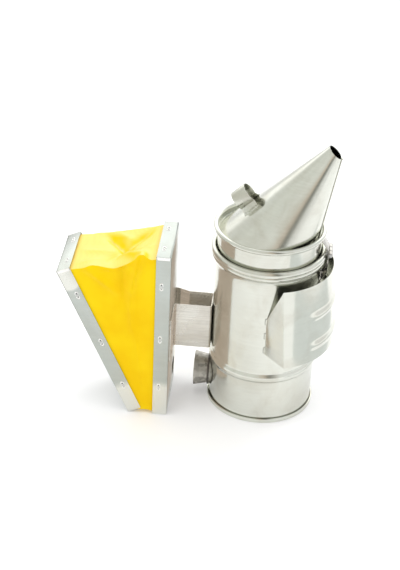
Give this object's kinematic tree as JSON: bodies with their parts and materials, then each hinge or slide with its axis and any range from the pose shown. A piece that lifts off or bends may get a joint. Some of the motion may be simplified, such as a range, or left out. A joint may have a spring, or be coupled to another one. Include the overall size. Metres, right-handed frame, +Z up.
{
  "type": "bee smoker",
  "caption": "Steel bee smoker: a fire can with an air inlet and a heat guard, a hinged cone spout lid with a finger loop, and sprung hand bellows on a side bracket.",
  "frame": {"origin": "centre of the can's base, on the surface that it stands on", "axes": "+Z up along the can; -X towards the bellows and +X towards the spout, the lid hinge and the heat guard; -Y towards the viewer"},
  "size_m": [0.2626, 0.1272, 0.2767],
  "materials": {
    "polished_steel": "polished stainless sheet",
    "brushed_steel": "brushed along the strip",
    "galvanised_steel": "dull, mottled zinc coat",
    "grate_steel": "dull",
    "board_steel": "satin zinc-coated sheet",
    "clip_steel": "bright zinc",
    "hinge_steel": "bright wire and strip",
    "rivet_steel": "satin",
    "wire_steel": "drawn wire",
    "yellow_cloth": "coated cloth with a soft sheen",
    "strap_cloth": "matt"
  },
  "bodies": {
    "can": {"chamber_wall": "polished_steel", "base_pan": "polished_steel", "grate_legs": "grate_steel", "air_inlet_tube": "galvanised_steel", "inlet_ring": "galvanised_steel", "heat_guard": "polished_steel", "bellows_bracket": "brushed_steel", "bracket_can_rivets": "rivet_steel", "bracket_board_rivets": "rivet_steel", "lid_hinge_can_leaf": "hinge_steel", "lid_hinge_pin": "hinge_steel", "lid_hinge_can_rivets": "rivet_steel", "fixed_board": "board_steel", "fixed_clamp_frame": "board_steel", "fixed_board_clips": "clip_steel", "fixed_spring_clip": "clip_steel", "bellows_skin": "yellow_cloth", "hinge_strap": "strap_cloth", "return_spring": "wire_steel"},
    "lid": {"lid_collar": "polished_steel", "lid_rim_wire": "wire_steel", "spout_cone": "polished_steel", "spout_seam": "polished_steel", "finger_loop": "polished_steel", "lid_hinge_lid_leaf": "hinge_steel", "lid_hinge_lid_rivets": "rivet_steel"},
    "bellows_board": {"moving_board": "board_steel", "moving_clamp_frame": "board_steel", "moving_board_clips": "clip_steel", "moving_spring_clip": "clip_steel"},
    "grate": {"fire_grate": "grate_steel"}
  },
  "joints": [
    {"name": "lid_hinge", "type": "hinge", "parent": "can", "child": "lid", "pos_m": [0.0576, 0, 0.1685], "axis": [0, 1, 0], "range_deg": [0, 110]},
    {"name": "bellows_hinge", "type": "hinge", "parent": "can", "child": "bellows_board", "pos_m": [-0.1055, -0.018, 0.006], "axis": [0, 1, 0], "range_deg": [0, 20], "stiffness_Nm_per_rad": 2, "springref_deg": -14.32, "deforming": ["bellows_skin", "hinge_strap", "return_spring"]},
    {"name": "grate_slide", "type": "slide", "parent": "can", "child": "grate", "axis": [0, 0, 1], "range_m": [0, 0.1]}
  ]
}
